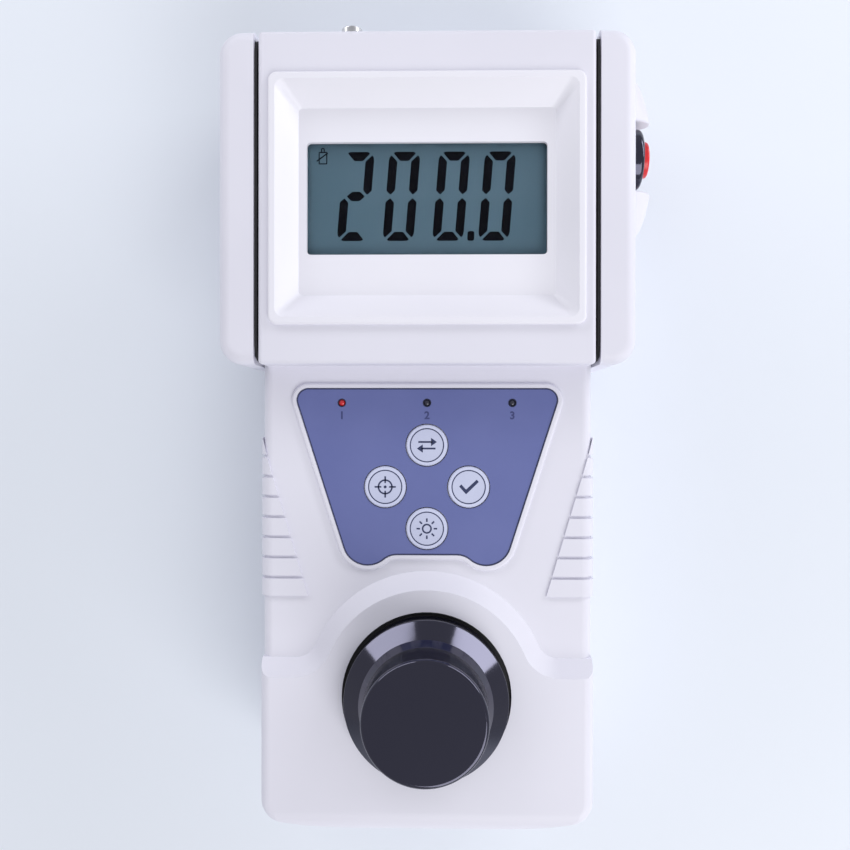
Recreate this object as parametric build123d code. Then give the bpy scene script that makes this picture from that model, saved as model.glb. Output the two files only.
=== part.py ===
from build123d import *
import os
from math import atan, degrees, hypot, radians, tan

# Portable turbidity meter lying on its back: +Z out of the display, +Y towards the head.
# The origin is on the bench, under the middle of the housing. All sizes are millimetres.

# Housing
body_width = 96.2
body_length = 229.5
measured_length = 229.5


def along(place):
    """A place or length read off the real meter, kept in proportion to body_length."""
    return place * body_length / measured_length


head_width = 95.2
head_length = along(93.95)
deck_height = 50.0
platform_rise = 4.5
head_rise = 10.0
parting_height = 28.0
foot_height = 1.6
wall = 2.5
end_bow = 3.6
end_corner_radius = 7.0
end_nose_radius = 7.0
deck_edge_radius = 3.0
back_edge_radius = 4.0
head_edge_radius = 1.2
lip_height = 1.5
fit_gap = 0.15
slide_gap = 0.3

# Platform round the sample well
well_y = along(-74.5)
platform_radius = 35.5
platform_shoulder_y = along(-64.3)
platform_blend_radius = 6.0
platform_slope_run = 4.8
well_opening_radius = 24.4

# Finger grips down both sides
grip_top_y = along(0.0)
grip_pitch = 5.9
grip_count = 8
grip_groove = 0.9
grip_rise = 0.7
grip_reach_top = 1.0
grip_reach_bottom = 14.0
grip_foot_height = 14.0

# Side covers of the head
cover_thickness = 10.2
cover_gap = 1.4
cover_drop = 0.4
cover_lift = 0.4
cover_end_reach = 0.7
cover_corner_radius = 6.8
cover_edge_radius = 3.5
cover_wall = 2.2
cover_lip_inset = 6.0
cover_lip_wall = 1.8
cover_boss_radius = 3.0
cover_screw_ys = (along(30.0), along(102.0))
cover_screw_heights = (14.0, 42.0)

# Power switch and its guard on the right-hand cover
switch_y = along(86.0)
switch_height = 31.0
guard_y = along(84.6)
guard_radius = 24.3
guard_height = 9.0
guard_crown_radius = 85.0
guard_edge_radius = 3.0
guard_slot = 18.9
guard_wall = 2.2
switch_flange_radius = 9.2
switch_flange_height = 6.5
switch_flange_edge = 1.3
switch_barrel_radius = 7.8
switch_barrel_length = 10.2
switch_terminal_length = 5.0
switch_well_depth = 8.0
button_radius = 5.45
button_stand = 2.1
button_foot = 4.0
button_collar = 0.75

# Charger socket in the end wall of the head
socket_x = -21.8
socket_height = 52.0
socket_stand = 3.6
socket_radius = 3.0
socket_bore_radius = 1.85
socket_bore_depth = 9.0
socket_pin_radius = 0.65
socket_case = 0.8
socket_length = 13.0

# Display
bezel_width = 89.4
bezel_length = along(71.0)
bezel_y = along(67.4)
bezel_rise = 1.3
bezel_lap = 2.4
bezel_rim = 2.0
bezel_floor_width = 73.4
bezel_floor_length = along(53.4)
bezel_floor_depth = 4.0
bezel_floor_wall = 1.5
bezel_corner_radius = 2.5
view_width = 68.7
view_length = along(32.1)
view_y = along(68.35)
window_thickness = 1.5
window_margin = 3.6
lcd_thickness = 2.7
lcd_margin = 3.1
lcd_air = 0.1
backlight_thickness = 2.8
board_thickness = 1.6
lcd_frame_wall = 1.0
display_board_width = 84.0
display_board_ys = (along(39.0), along(95.0))
display_post_x = 39.0
display_post_ys = (along(44.0), along(92.6))
display_post_radius = 2.6

# Keypad
keypad_top_y = along(14.3)
keypad_half_top = 38.0
keypad_bottom_y = along(-37.3)
keypad_lobe_x = 17.3
keypad_lobe_radius = 7.3
keypad_waist = 3.1
keypad_corner_radius = 3.4
keypad_waist_radius = 6.0
keypad_rim = 1.6
keypad_rim_rise = 0.9
overlay_thickness = 0.5
key_y = along(-14.4)
key_spread = along(12.15)
key_radius = 0.494 * key_spread
key_rise = 0.3
key_travel = 0.35
key_stem_radius = 2.9
indicator_y = along(10.1)
indicator_pitch = 24.85
indicator_radius = 1.2
keypad_board_drop = 6.0
keypad_post_places = ((31.0, along(12.0)), (17.0, along(-32.0)))

# Sample well and its light cap
bore_radius = 12.8
bore_floor = 9.0
block_half = 20.0
block_foot = 6.0
block_top = 46.6
neck_radius = 24.0
collar_foot = 48.6
collar_height = 4.0
collar_radius = 24.2
collar_bore_radius = 13.4
seal_inner_radius = 21.6
seal_outer_radius = 23.4
seal_groove_depth = 1.1
seal_height = 2.0
cap_seat = 53.6
cap_flange_radius = 23.3
cap_flange_top = 60.3
cap_skirt_radius = 18.75
cap_skirt_top = 64.2
cap_knob_radius = 17.3
cap_knob_foot = 66.8
cap_knob_taper = 0.3
cap_top = 79.1
cap_rim_radius = 1.2
cap_hollow_radius = 15.0
cap_hollow_top = 74.0
cap_ring_radius = 20.5
cap_ring_wall = 1.5
cap_ring_drop = 3.0
beam_height = 19.0
lamp_radius = 2.5
lamp_stand = 1.5
lens_radius = 3.0
lens_thickness = 1.5
detector_radius = 4.1
aperture_radius = 2.2
block_flange_x = 27.0
block_flange_y = 19.0
block_screw_x = 24.0
block_screw_y = 15.0

# Battery bay and door at the back of the head
cell_radius = 7.25
cell_length = 50.5
cell_pitch = 15.2
cell_count = 4
bay_half_width = 31.4
bay_middle_y = along(76.0)
bay_length = 58.0
bay_wall = 1.6
bay_roof_height = 19.0
door_half_width = 33.0
door_thickness = 2.0
door_start_gap = 5.7
door_rail = 1.4
door_rail_height = 0.8
door_ledge = 1.6
contact_half = 5.0
contact_thickness = 0.4
contact_leaf_half = 2.5

# Boards, screws and feet
main_board_half_width = 35.5
main_board_ys = (along(-40.0), along(16.0))
main_board_height = 20.0
main_post_x = 32.0
main_post_ys = (along(-36.0), along(12.0))
post_radius = 3.0
case_screw_x = 40.0
case_screw_ys = (along(-60.0), along(0.0), along(106.0))
case_boss_radius = 3.6
screw_radius = 1.35
screw_head_radius = 2.7
screw_head_height = 2.0
small_screw_radius = 0.95
small_head_radius = 2.0
small_head_height = 1.3
pilot_gap = 0.05
foot_radius = 4.5
foot_spigot_radius = 3.0
foot_spigot = 0.9
foot_x = 39.0
foot_ys = (along(-98.0), along(90.0))
lead_radius = 0.7
ribbon_thickness = 0.6
ribbon_x = (8.5, 6.0)
ribbon_half_widths = (5.0, 8.0)
ribbon_connector_half = 2.5
keypad_connector_y = along(-27.5)
display_connector_y = along(6.5)
lead_height = 24.5
battery_lead_height = 14.0
well_lead_xs = (-24.0, 0.0, 24.0)
head_lead_xs = (-18.0, -8.0, 26.0)
connector_half = 3.0
connector_depth = 5.5
connector_height = 5.8
connector_inset = 0.5

# Heights and places worked out from the sizes above
half_width = body_width / 2
head_half = head_width / 2
head_end = body_length / 2
lower_end = -body_length / 2
head_foot = head_end - head_length
socket_back = head_end - socket_length
platform_height = deck_height + platform_rise
head_height = deck_height + head_rise
floor_top = foot_height + wall
deck_under = deck_height - wall
head_under = head_height - wall
platform_under = platform_height - wall
cover_inner = head_half + cover_gap
cover_outer = cover_inner + cover_thickness
cover_top = head_height - cover_drop
cover_ys = (head_foot, head_end + cover_end_reach)
bay_ys = (bay_middle_y - bay_length / 2, bay_middle_y + bay_length / 2)
door_start_y = bay_ys[0] - door_start_gap
bezel_top = head_height + bezel_rise
bezel_floor = head_height - bezel_floor_depth
window_top = bezel_floor - bezel_floor_wall
lcd_top = window_top - window_thickness - lcd_air
lcd_under = lcd_top - lcd_thickness
display_board_top = lcd_under - backlight_thickness - 2 * lcd_air
keypad_board_top = deck_height - keypad_board_drop
main_board_top = main_board_height + board_thickness
key_places = {
    "key_top": (0, key_y + key_spread),
    "key_left": (-key_spread, key_y),
    "key_right": (key_spread, key_y),
    "key_bottom": (0, key_y - key_spread),
}


def block(x0, x1, y0, y1, z0, z1):
    return Pos((x0 + x1) / 2, (y0 + y1) / 2, (z0 + z1) / 2) * Box(x1 - x0, y1 - y0, z1 - z0)


def rod(x, y, z0, z1, radius):
    return Pos(x, y, (z0 + z1) / 2) * Cylinder(radius, z1 - z0)


def rod_x(x0, x1, y, z, radius):
    return Pos((x0 + x1) / 2, y, z) * Rot(0, 90, 0) * Cylinder(radius, x1 - x0)


def rod_y(x, y0, y1, z, radius):
    return Pos(x, (y0 + y1) / 2, z) * Rot(90, 0, 0) * Cylinder(radius, y1 - y0)


def prism(sketch, z0, z1):
    return Pos(0, 0, z0) * extrude(sketch, z1 - z0)


def edges_at(solid, height):
    return solid.edges().filter_by_position(Axis.Z, height - 0.01, height + 0.01)


def mirrored(points):
    return [(side * x, y) for x, y in points for side in (-1, 1)]


def screw(x, y, z_tip, z_head, radius, head_radius, head_height, turn=0):
    """A pan-head screw along Z, with its head at the lower end when turn is 0."""
    shank = Pos(0, 0, (z_tip - z_head) / 2) * Cylinder(radius, z_tip - z_head)
    head = Pos(0, 0, -head_height / 2) * Cylinder(head_radius, head_height)
    head = chamfer(edges_at(head, -head_height), head_height * 0.35)
    return Pos(x, y, z_head) * Rot(turn, 0, 0) * (shank + head)


# Outlines and outer forms of the housing

def body_outline():
    """Plan of the housing: straight sides, a bowed lower end and round lower corners."""
    bow_radius = (half_width ** 2 + end_bow ** 2) / (2 * end_bow)
    strip = Pos(0, -end_bow) * Rectangle(body_width, body_length + 2 * end_bow)
    plan = strip & Pos(0, lower_end + bow_radius) * Circle(bow_radius)
    plan &= Pos(0, head_end - body_length) * Rectangle(body_width, 2 * body_length)
    corners = plan.vertices().sort_by(Axis.Y)[:2]
    return fillet(corners, end_corner_radius)


def inset_outline(inset):
    return offset(body_outline(), -inset)


def deck_form(grow=0.0):
    """The lower deck as a closed block with its upper edges rounded."""
    plan = offset(body_outline(), grow) if grow else body_outline()
    top = deck_height + grow
    form = prism(plan, parting_height, top)
    return fillet(edges_at(form, top), deck_edge_radius + grow)


def platform_form():
    """The raised end round the sample well, with a sloped band facing the keypad."""
    depth = 2 * body_length
    shoulder = Pos(0, platform_shoulder_y - depth / 2) * Rectangle(2 * body_width, depth)
    region = shoulder + Pos(0, well_y) * Circle(platform_radius)
    notches = region.vertices().filter_by_position(Axis.X, -half_width, half_width)
    region = fillet(notches, platform_blend_radius)
    slope = degrees(atan(platform_slope_run / platform_rise))
    rise = Pos(0, 0, deck_height) * extrude(region, platform_rise, taper=slope)
    rise += prism(region, parting_height, deck_height)
    nose = Plane.YZ * Polyline(
        (lower_end, 0), (head_end, 0), (head_end, platform_height), (lower_end, platform_height), close=True)
    side = make_face(nose)
    tips = side.vertices().filter_by_position(Axis.Y, lower_end - 0.01, lower_end + 0.01)
    side = extrude(fillet(tips.sort_by(Axis.Z)[-1:], end_nose_radius), body_width, both=True)
    form = prism(body_outline(), parting_height, platform_height)
    form = fillet(edges_at(form, platform_height), deck_edge_radius)
    return form & side & rise


def head_form():
    """The display block at the head end, square to the deck and softly edged."""
    form = block(-head_half, head_half, head_foot, head_end, parting_height, head_height)
    uprights = form.edges().filter_by(Axis.Z)
    return fillet(uprights + edges_at(form, head_height), head_edge_radius)


def back_form():
    """The rear half of the housing as a closed block with its back edges rounded."""
    form = prism(body_outline(), foot_height, parting_height)
    return fillet(edges_at(form, foot_height), back_edge_radius)


def grip_region():
    """The wedge of the plan that the finger grips cover, in strips with a groove between."""
    strips = Sketch()
    edge = half_width + 2 * grip_rise
    height = grip_count * grip_pitch
    for index in range(grip_count):
        y_top = grip_top_y - index * grip_pitch
        y_foot = y_top - grip_pitch + grip_groove
        reach_top = grip_reach_top + grip_reach_bottom * (grip_top_y - y_top) / height
        reach_foot = grip_reach_top + grip_reach_bottom * (grip_top_y - y_foot) / height
        outline = Polyline(
            (edge, y_top), (edge - reach_top, y_top), (edge - reach_foot, y_foot), (edge, y_foot), close=True)
        strips += make_face(outline)
    return strips + mirror(strips, Plane.YZ)


def deck_grips():
    """Raised grip strips that lie on the deck and wrap down over its side walls."""
    strips = prism(grip_region(), parting_height, deck_height + 2 * grip_rise)
    return deck_form(grip_rise) & strips


def back_grips():
    strips = prism(grip_region(), grip_foot_height, parting_height)
    return prism(offset(body_outline(), grip_rise), grip_foot_height, parting_height) & strips


# Shells of the housing

def keypad_outline(grow=0.0):
    """The shield-shaped keypad: wide at the top, with two round lobes and a waist at its foot."""
    corners = [(side * (keypad_half_top - keypad_corner_radius), keypad_top_y - keypad_corner_radius)
               for side in (-1, 1)]
    lobes = [(side * keypad_lobe_x, keypad_bottom_y + keypad_lobe_radius) for side in (-1, 1)]
    rounds = [Pos(*place) * Circle(keypad_corner_radius) for place in corners]
    feet = [Pos(*place) * Circle(keypad_lobe_radius) for place in lobes]
    plan = make_hull([circle.edge() for circle in rounds + feet])
    waist_y = keypad_bottom_y + keypad_waist
    notch = Pos(0, waist_y - body_length / 2) * Rectangle(2 * keypad_lobe_x, body_length)
    plan -= notch - feet[0] - feet[1]
    waist = plan.vertices().filter_by_position(Axis.Y, waist_y - 0.01, waist_y + 0.01)
    plan = fillet(waist, keypad_waist_radius)
    return offset(plan, grow) if grow else plan


def cover_screw_points():
    return [(y, z) for y in cover_screw_ys for z in cover_screw_heights]


def switch_port():
    """Opening in the right-hand side wall for the switch terminals."""
    half = switch_barrel_radius - 1
    return block(half_width - 2 * wall, half_width + 1, switch_y - half, switch_y + half,
                 parting_height + 1.5 * lip_height, switch_height + half)


def cover_screw_holes():
    holes = Part()
    for y, z in cover_screw_points():
        for side in (-1, 1):
            x0, x1 = sorted((side * (half_width - 2 * wall), side * (half_width + 1)))
            holes += rod_x(x0, x1, y, z, screw_radius + fit_gap)
    return holes


def front_shell():
    shell = deck_form() + platform_form() + head_form() + deck_grips()
    rim = prism(keypad_outline(keypad_rim), deck_height - 1, deck_height + keypad_rim_rise)
    rim = fillet(edges_at(rim, deck_height + keypad_rim_rise), keypad_rim * 0.45)
    shell += rim
    shell -= prism(keypad_outline(fit_gap), deck_height, deck_height + 2 * keypad_rim_rise)

    inside = inset_outline(wall)
    shell -= prism(inside, parting_height, deck_under)
    inner = head_half - wall
    shell -= block(-inner, inner, head_foot + wall, head_end - wall, parting_height, head_under)
    plate = Rectangle(body_width, body_length)
    tail = Pos(0, platform_shoulder_y - platform_slope_run - body_length / 2) * plate
    tail &= Pos(0, lower_end + end_nose_radius + body_length / 2) * plate
    shell -= prism(inside & tail, deck_under - 1, platform_under)
    shell -= prism(inset_outline(wall / 2 - fit_gap), parting_height, parting_height + lip_height + fit_gap)

    shell += rod(0, well_y, block_top + 2 * slide_gap, platform_under, well_opening_radius + wall)
    shell -= rod(0, well_y, parting_height, platform_height + 1, well_opening_radius)

    opening_x = bezel_width / 2 - bezel_lap
    opening_y = bezel_length / 2 - bezel_lap
    shell -= block(-opening_x, opening_x, bezel_y - opening_y, bezel_y + opening_y,
                   head_under - 1, head_height + 1)

    for x, y in key_places.values():
        shell -= rod(x, y, deck_height - 1, deck_height + 1, key_radius + slide_gap)
        shell -= rod(x, y, deck_under - 1, deck_height, key_stem_radius + slide_gap)
    for index in (-1, 0, 1):
        shell -= rod(index * indicator_pitch, indicator_y, deck_under - 1, deck_height + 1, indicator_radius)

    for y in case_screw_ys:
        top = head_under if y > head_foot else deck_under
        for x in (-case_screw_x, case_screw_x):
            shell += rod(x, y, parting_height, top, case_boss_radius)
            shell -= rod(x, y, parting_height, top - wall, screw_radius + pilot_gap)
    for x, y in mirrored(keypad_post_places):
        shell += rod(x, y, keypad_board_top, deck_under, post_radius)
        shell -= rod(x, y, keypad_board_top, deck_under, small_screw_radius + pilot_gap)

    shell -= switch_port() + cover_screw_holes()
    shell -= rod_y(socket_x, head_end - 2 * wall, head_end + 1, socket_height, socket_radius + fit_gap)
    return shell


def door_channel():
    """Way along the back of the housing in which the battery door slides out."""
    half = door_half_width + slide_gap
    top = foot_height + door_thickness + slide_gap
    channel = block(-half, half, door_start_y, head_end + 1, foot_height - 1, top)
    rail_height = foot_height + (door_thickness - door_rail_height) / 2
    channel += block(-half - door_rail, half + door_rail, door_start_y, head_end + 1,
                     rail_height - slide_gap / 2, rail_height + door_rail_height + slide_gap / 2)
    return channel


def rear_shell():
    shell = back_form() + back_grips()
    shell -= prism(inset_outline(wall), floor_top, parting_height)
    lip = inset_outline(wall / 2) - inset_outline(wall)
    shell += prism(lip, parting_height, parting_height + lip_height)

    ledge_top = foot_height + door_thickness + slide_gap + door_ledge
    bay_x = bay_half_width + bay_wall
    bay_y0, bay_y1 = bay_ys
    shell += block(-door_half_width - 2 * door_rail, door_half_width + 2 * door_rail,
                   door_start_y - door_ledge, head_end - wall, floor_top, ledge_top)
    shell += block(-bay_x, bay_x, bay_y0 - bay_wall, bay_y1 + bay_wall, floor_top, bay_roof_height + bay_wall)
    shell -= block(-bay_half_width, bay_half_width, bay_y0, bay_y1, foot_height - 1, bay_roof_height)
    shell -= door_channel()

    for y in case_screw_ys:
        for x in (-case_screw_x, case_screw_x):
            shell += rod(x, y, floor_top, parting_height, case_boss_radius)
            shell -= rod(x, y, foot_height - 1, parting_height + lip_height, screw_radius + fit_gap)
            shell -= rod(x, y, foot_height - 1, floor_top, screw_head_radius + slide_gap)
    for x in (-main_post_x, main_post_x):
        for y in main_post_ys:
            shell += rod(x, y, floor_top, main_board_height, post_radius)
            shell -= rod(x, y, floor_top + wall, main_board_height, small_screw_radius + pilot_gap)
    for x in (-block_screw_x, block_screw_x):
        for y in (well_y - block_screw_y, well_y + block_screw_y):
            shell += rod(x, y, floor_top, block_foot, post_radius)
            shell -= rod(x, y, foot_height + wall / 2, block_foot, screw_radius + pilot_gap)
    for x in (-foot_x, foot_x):
        for y in foot_ys:
            shell -= rod(x, y, foot_height - 1, foot_height + foot_spigot, foot_spigot_radius)
    shell -= rod_y(head_lead_xs[0], bay_y0 - 2 * bay_wall, bay_y0, battery_lead_height,
                   lead_radius + slide_gap)
    shell -= switch_port() + cover_screw_holes()
    return shell


def side_cover(side):
    """One cheek of the head: a deep moulded cover that stands off the housing by a shadow gap."""
    y0, y1 = cover_ys
    z0 = foot_height + cover_lift
    form = block(cover_inner, cover_outer, y0, y1, z0, cover_top)
    corners = form.edges().filter_by(Axis.Z).sort_by(Axis.X)[-2:]
    form = fillet(corners, cover_corner_radius)
    face_edges = edges_at(form, cover_top) + edges_at(form, z0)
    rounded = face_edges.filter_by_position(Axis.X, cover_inner + 0.1, cover_outer + 1)
    form = fillet(rounded, cover_edge_radius)

    lip = cover_lip_inset
    lip_outer = block(half_width, cover_outer - cover_wall / 2, y0 + lip, y1 - lip, z0 + lip, cover_top - lip)
    lip_wall = lip + cover_lip_wall
    lip_inner = block(half_width - 1, cover_outer - cover_wall, y0 + lip_wall, y1 - lip_wall,
                      z0 + lip_wall, cover_top - lip_wall)
    shell = form - block(cover_inner - 1, cover_outer - cover_wall, y0 + cover_wall, y1 - cover_wall,
                         z0 + cover_wall, cover_top - cover_wall)
    shell += lip_outer - lip_inner
    if side > 0:
        shell += switch_guard()
        shell -= switch_guard_hollow()
    for y, z in cover_screw_points():
        under_guard = side > 0 and hypot(y - guard_y, z - switch_height) < guard_radius - cover_boss_radius
        top = cover_outer + guard_wall if under_guard else cover_outer - cover_wall
        shell += rod_x(half_width, top, y, z, cover_boss_radius)
        shell -= rod_x(half_width - 1, cover_outer - cover_wall, y, z, screw_radius + pilot_gap)
    return shell if side > 0 else mirror(shell, Plane.YZ)


def guard_dome(shrink, x0, x1):
    """A round boss with a low crown and a soft edge, turned about X and cut between two heights."""
    crown = Pos(cover_outer + guard_height - guard_crown_radius, 0) * Circle(guard_crown_radius - shrink)
    radius = guard_radius - shrink
    half = crown & Pos((x0 + x1) / 2, radius / 2) * Rectangle(x1 - x0, radius)
    brim = half.vertices().sort_by(Axis.Y)[-2:].sort_by(Axis.X)[-1:]
    half = fillet(brim, guard_edge_radius - shrink / 2)
    return Pos(0, guard_y, switch_height) * revolve(half, Axis.X)


def switch_slot(clear, floor):
    """The way across the boss in which the switch stands."""
    half = guard_slot / 2 + clear
    return block(floor, cover_outer + guard_height + 1, switch_y - half, switch_y + half,
                 -head_height, 2 * head_height)


def switch_guard():
    """The boss on the cover, slotted across so that two crescents flank the switch."""
    top = cover_outer + guard_height + 1
    return guard_dome(0, cover_outer - cover_wall, top) - switch_slot(0, cover_outer)


def switch_guard_hollow():
    """The crescents are cored from behind; the switch barrel passes through the cover between them."""
    inner = cover_outer - cover_wall
    hollow = guard_dome(guard_wall, inner - 0.5, cover_outer + guard_height + 1)
    hollow -= switch_slot(guard_wall, inner)
    return hollow + rod_x(inner - 1, cover_outer + 1, switch_y, switch_height, switch_barrel_radius + fit_gap)


# Display

def display_bezel():
    form = block(-bezel_width / 2, bezel_width / 2, bezel_y - bezel_length / 2, bezel_y + bezel_length / 2,
                 head_height, bezel_top)
    form = fillet(form.edges().filter_by(Axis.Z), bezel_corner_radius)
    form = fillet(edges_at(form, bezel_top), bezel_rise * 0.55)
    skirt_x = bezel_width / 2 - bezel_lap - fit_gap
    skirt_y = bezel_length / 2 - bezel_lap - fit_gap
    form += block(-skirt_x, skirt_x, bezel_y - skirt_y, bezel_y + skirt_y, window_top, head_height)
    mouth = Pos(0, bezel_y, bezel_top) * RectangleRounded(
        bezel_width - 2 * bezel_rim, bezel_length - 2 * bezel_rim, bezel_corner_radius)
    floor = Pos(0, bezel_y, bezel_floor) * RectangleRounded(
        bezel_floor_width, bezel_floor_length, bezel_corner_radius / 2)
    form -= loft([floor, mouth])
    view = Pos(0, view_y) * RectangleRounded(view_width, view_length, bezel_corner_radius / 2)
    form -= prism(view, window_top - 1, bezel_floor + 1)
    for y in display_post_ys:
        for x in (-display_post_x, display_post_x):
            form += rod(x, y, display_board_top, window_top, display_post_radius)
            form -= rod(x, y, display_board_top, window_top, small_screw_radius + pilot_gap)
    for y in (bezel_y - bezel_length / 4, bezel_y + bezel_length / 4):
        for side in (-1, 1):
            x0, x1 = sorted((side * skirt_x, side * (skirt_x + 1)))
            form += block(x0, x1, y - 3, y + 3, head_under - 1.4, head_under - fit_gap)
    return form


def display_window():
    plate = RectangleRounded(view_width + 2 * window_margin, view_length + 2 * window_margin, 1)
    return prism(Pos(0, view_y) * plate, window_top - window_thickness, window_top)


def lcd_glass():
    half_x = view_width / 2 + lcd_margin
    half_y = view_length / 2 + lcd_margin
    return block(-half_x, half_x, view_y - half_y, view_y + half_y, lcd_under, lcd_top)


def lcd_carrier():
    """Frame that holds the glass and the backlight square on the board."""
    half_x = view_width / 2 + lcd_margin + fit_gap
    half_y = view_length / 2 + lcd_margin + fit_gap
    edge = lcd_frame_wall
    frame = block(-half_x - edge, half_x + edge, view_y - half_y - edge, view_y + half_y + edge,
                  display_board_top, lcd_top)
    return frame - block(-half_x, half_x, view_y - half_y, view_y + half_y,
                         display_board_top - 1, lcd_top + 1)


def lcd_contact_strips():
    """Two elastic strips that carry the signals from the board to the glass."""
    half_x = view_width / 2
    inner = view_length / 2
    lower = block(-half_x, half_x, view_y - inner - lcd_margin, view_y - inner - lcd_margin / 4,
                  display_board_top, lcd_under)
    upper = block(-half_x, half_x, view_y + inner + lcd_margin / 4, view_y + inner + lcd_margin,
                  display_board_top, lcd_under)
    return lower + upper


def backlight_panel():
    half_x = view_width / 2
    half_y = view_length / 2
    return block(-half_x, half_x, view_y - half_y, view_y + half_y,
                 display_board_top, display_board_top + backlight_thickness)


def display_board():
    y0, y1 = display_board_ys
    half = display_board_width / 2
    board = block(-half, half, y0, y1, display_board_top - board_thickness, display_board_top)
    for x in (-display_post_x, display_post_x):
        for y in display_post_ys:
            board -= rod(x, y, display_board_top - 2 * board_thickness, display_board_top + 1,
                         small_screw_radius + fit_gap)
    under = display_board_top - board_thickness
    return board + ribbon_connector(1, y0 + ribbon_connector_half + connector_inset, under - 2.5, under)


def ribbon_connector(index, y, z0, z1):
    half = ribbon_half_widths[index] + 1
    x = ribbon_x[index]
    return block(x - half, x + half, y - ribbon_connector_half, y + ribbon_connector_half, z0, z1)


# Keypad

def keypad_overlay():
    sheet = prism(keypad_outline(), deck_height, deck_height + overlay_thickness)
    for x, y in key_places.values():
        sheet -= rod(x, y, deck_height - 1, deck_height + 1, key_radius + slide_gap)
    for index in (-1, 0, 1):
        sheet -= rod(index * indicator_pitch, indicator_y, deck_height - 1, deck_height + 1, indicator_radius)
    return sheet


def key(x, y):
    """A round key: a thin cap in the overlay and a stem that reaches the switch below."""
    top = deck_height + overlay_thickness + key_rise
    cap_under = deck_height - 1 + key_travel + 0.1
    form = rod(x, y, cap_under, top, key_radius)
    form = fillet(edges_at(form, top), key_rise)
    return form + rod(x, y, key_stem_foot(), cap_under, key_stem_radius)


def tact_height():
    return keypad_board_top + 4.2


def key_stem_foot():
    return tact_height() + key_travel + 0.1


def tact_switches():
    switches = Part()
    for x, y in key_places.values():
        switches += block(x - 3, x + 3, y - 3, y + 3, keypad_board_top, deck_under - fit_gap)
        switches += rod(x, y, deck_under - fit_gap, tact_height(), 1.7)
    return switches


def indicator_leds():
    leds = Part()
    top = deck_height + overlay_thickness
    radius = indicator_radius - fit_gap
    for index in (-1, 0, 1):
        x = index * indicator_pitch
        leds += rod(x, indicator_y, keypad_board_top, deck_under - 1, 1.9)
        leds += rod(x, indicator_y, deck_under - 1, top - radius * 0.6, radius)
        leds += Pos(x, indicator_y, top - radius) * Sphere(radius)
    return leds


def keypad_board():
    (wide_x, top_y), (narrow_x, foot_y) = keypad_post_places
    outline = make_face(Polyline(
        (-wide_x - 4.5, top_y + 3), (wide_x + 4.5, top_y + 3), (narrow_x + 4.5, foot_y - 4),
        (-narrow_x - 4.5, foot_y - 4), close=True))
    under = keypad_board_top - board_thickness
    board = prism(outline, under, keypad_board_top)
    for x, y in mirrored(keypad_post_places):
        board -= rod(x, y, under - 1, keypad_board_top + 1, small_screw_radius + fit_gap)
    return board + ribbon_connector(0, keypad_connector_y, under - 2.6, under)


# Main board

def main_board():
    y0, y1 = main_board_ys
    board = block(-main_board_half_width, main_board_half_width, y0, y1, main_board_height, main_board_top)
    for x in (-main_post_x, main_post_x):
        for y in main_post_ys:
            board -= rod(x, y, main_board_height - 1, main_board_top + 1, small_screw_radius + fit_gap)
    return board


def board_components():
    y0, y1 = main_board_ys
    z = main_board_top
    parts = Part()
    well_side = y0 + connector_inset
    head_side = y1 - connector_inset - connector_depth
    for xs, start in ((well_lead_xs, well_side), (head_lead_xs, head_side)):
        for x in xs:
            parts += block(x - connector_half, x + connector_half, start, start + connector_depth,
                           z, z + connector_height)
    parts += ribbon_connector(0, keypad_connector_y, z, z + 3.4)
    parts += ribbon_connector(1, display_connector_y, z, z + 3.4)
    for x, y, half_x, half_y, height in (
            (0, -12, 7, 7, 1.6), (-20, -11, 4, 3, 1.8), (19, -9.5, 5, 2.5, 3.5), (-28.5, -2, 2.5, 4, 4.4)):
        parts += block(x - half_x, x + half_x, along(y) - half_y, along(y) + half_y, z, z + height)
    for x, y in ((-16, -26), (-8, -26), (22, -20), (30, -18), (18, 2)):
        parts += rod(x, along(y), z, z + 7.5, 2.6)
    return parts


# Measuring cell

def cell_holder():
    """Black optical block: a bore for the vial and three ports that meet it square."""
    x, y = block_half, block_half
    form = block(-x, x, well_y - y, well_y + y, block_foot, block_top)
    form = fillet(form.edges().filter_by(Axis.Z), 3)
    form += block(-block_flange_x, block_flange_x, well_y - block_flange_y, well_y + block_flange_y,
                  block_foot, block_foot + 3)
    form += rod(0, well_y, block_top, collar_foot, neck_radius)
    form -= rod(0, well_y, bore_floor, collar_foot + 1, bore_radius)
    for sx in (-block_screw_x, block_screw_x):
        for sy in (-block_screw_y, block_screw_y):
            form -= rod(sx, well_y + sy, block_foot - 1, block_foot + 4, screw_radius + fit_gap)
    form -= rod_x(-block_half - 1, -bore_radius - 1, well_y, beam_height, lens_radius + fit_gap)
    form -= rod_x(bore_radius + 1, block_half + 1, well_y, beam_height, detector_radius + fit_gap)
    form -= rod_y(0, well_y + bore_radius + 1, well_y + block_half + 1, beam_height,
                  detector_radius + fit_gap)
    form -= rod_x(-bore_radius - 2, bore_radius + 2, well_y, beam_height, aperture_radius)
    form -= rod_y(0, well_y, well_y + bore_radius + 2, beam_height, aperture_radius)
    return form


def lamp_lens():
    start = -bore_radius - 1 - lens_thickness
    return rod_x(start, -bore_radius - 1, well_y, beam_height, lens_radius)


def lamp():
    front = -bore_radius - 1 - lens_thickness - fit_gap
    back = -block_half - lamp_stand
    body = rod_x(back, front - lamp_radius, well_y, beam_height, lamp_radius)
    dome = Pos(front - lamp_radius, well_y, beam_height) * Sphere(lamp_radius)
    flange = rod_x(back, back + 1, well_y, beam_height, lens_radius)
    return body + dome + flange


def detector(place):
    can = Cylinder(detector_radius, block_half - bore_radius - 1)
    return place * Pos(0, 0, (block_half + bore_radius + 1) / 2) * can


def well_ring(inner, outer, z0, z1):
    return rod(0, well_y, z0, z1, outer) - rod(0, well_y, z0 - 1, z1 + 1, inner)


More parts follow.
